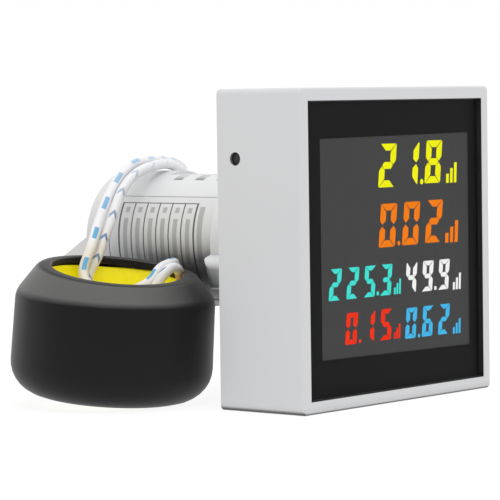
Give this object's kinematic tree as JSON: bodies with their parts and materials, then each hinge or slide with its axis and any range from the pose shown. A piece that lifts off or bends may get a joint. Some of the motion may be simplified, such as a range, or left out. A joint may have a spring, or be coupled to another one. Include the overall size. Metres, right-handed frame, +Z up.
{
  "type": "panel power meter with a current transformer",
  "caption": "Square panel power meter with a colour display, a threaded barrel with nut and rear screw terminals, and a ring current transformer on a pair of leads.",
  "frame": {"origin": "centre of the head's back face, on the barrel's axis, in the plane that sits on the panel", "axes": "+Y along the barrel's axis towards the terminals, +Z up, +X right as seen from the front; the display faces -Y"},
  "size_m": [0.0649, 0.0703, 0.048],
  "materials": {
    "white_housing": "fine satin moulding",
    "smoked_window": "clear gloss, smoked",
    "lcd": "dark gloss",
    "white_inner": "matte moulding",
    "colour_film": "printed film",
    "light_guide": "milky gloss",
    "lamp": "small white lamp",
    "tinned_pin": "tinned",
    "circuit_board": "green solder mask",
    "chip": "matte black",
    "black_button": "matte black",
    "capacitor_yellow": "moulded box",
    "capacitor_can": "sleeved can",
    "varistor_blue": "dipped coating",
    "grey_washer": "soft matte",
    "white_nut": "satin moulding",
    "brass": "stamped strip",
    "plated_steel": "bright zinc plate",
    "grey_rubber": "soft grommet",
    "label_film": "bare ruled sticker",
    "black_rubber": "shrunk sleeve, soft sheen",
    "yellow_tape": "polyester tape",
    "copper_wire": "enamelled wire",
    "core_steel": "wound strip",
    "lead_white": "white sleeve with blue marks"
  },
  "bodies": {
    "meter": {"front_housing": "white_housing", "display_window": "smoked_window", "lcd_panel": "lcd", "display_tray": "white_inner", "colour_film": "colour_film", "light_guide": "light_guide", "backlight_lamps": "lamp", "lcd_pins": "tinned_pin", "main_board": "circuit_board", "controller_chip": "chip", "metering_chip": "chip", "setting_switch": "chip", "power_board": "circuit_board", "board_link_pins": "tinned_pin", "film_capacitor": "capacitor_yellow", "smoothing_capacitor": "capacitor_can", "varistor": "varistor_blue", "rectifier": "chip", "rear_cover": "white_housing", "terminal_block": "white_inner", "terminal_plates": "brass", "lead_grommet": "grey_rubber", "rating_label": "label_film", "ct_sleeve": "black_rubber", "ct_tape_wrap": "yellow_tape", "ct_winding": "copper_wire", "ct_core": "core_steel", "ct_lead_a": "lead_white", "ct_lead_b": "lead_white"},
    "washer": {"nut_washer": "grey_washer"},
    "nut": {"mounting_nut": "white_nut"},
    "clamp_left": {"clamp_washer_left": "plated_steel"},
    "clamp_right": {"clamp_washer_right": "plated_steel"},
    "screw_left": {"terminal_screw_left": "plated_steel"},
    "screw_right": {"terminal_screw_right": "plated_steel"},
    "button": {"setting_button": "black_button"}
  },
  "joints": [
    {"name": "washer_slide", "type": "slide", "parent": "meter", "child": "washer", "axis": [0, -1, 0], "range_m": [0, 0.00333]},
    {"name": "nut_turn", "type": "hinge", "parent": "washer", "child": "nut", "pos_m": [0, 0.00785, 0], "axis": [0, -1, 0], "range_deg": [0, 300]},
    {"name": "clamp_left_lift", "type": "slide", "parent": "meter", "child": "clamp_left", "axis": [0, 0.5284, 0.849], "range_m": [0, 0.0015]},
    {"name": "screw_left_turn", "type": "hinge", "parent": "clamp_left", "child": "screw_left", "pos_m": [-0.0037, 0.04324, -0.00038], "axis": [0, 0.5284, 0.849], "range_deg": [0, 1080]},
    {"name": "clamp_right_lift", "type": "slide", "parent": "meter", "child": "clamp_right", "axis": [0, 0.5284, 0.849], "range_m": [0, 0.0015]},
    {"name": "screw_right_turn", "type": "hinge", "parent": "clamp_right", "child": "screw_right", "pos_m": [0.0037, 0.04324, -0.00038], "axis": [0, 0.5284, 0.849], "range_deg": [0, 1080]},
    {"name": "button_push", "type": "slide", "parent": "meter", "child": "button", "axis": [1, 0, 0], "range_m": [0, 0.0003], "stiffness_N_per_m": 300}
  ],
  "couplings": [
    {"joint": "nut_turn", "follows": "washer_slide", "rad_per_m": 1570.8},
    {"joint": "screw_left_turn", "follows": "clamp_left_lift", "rad_per_m": 12566},
    {"joint": "screw_right_turn", "follows": "clamp_right_lift", "rad_per_m": 12566}
  ]
}
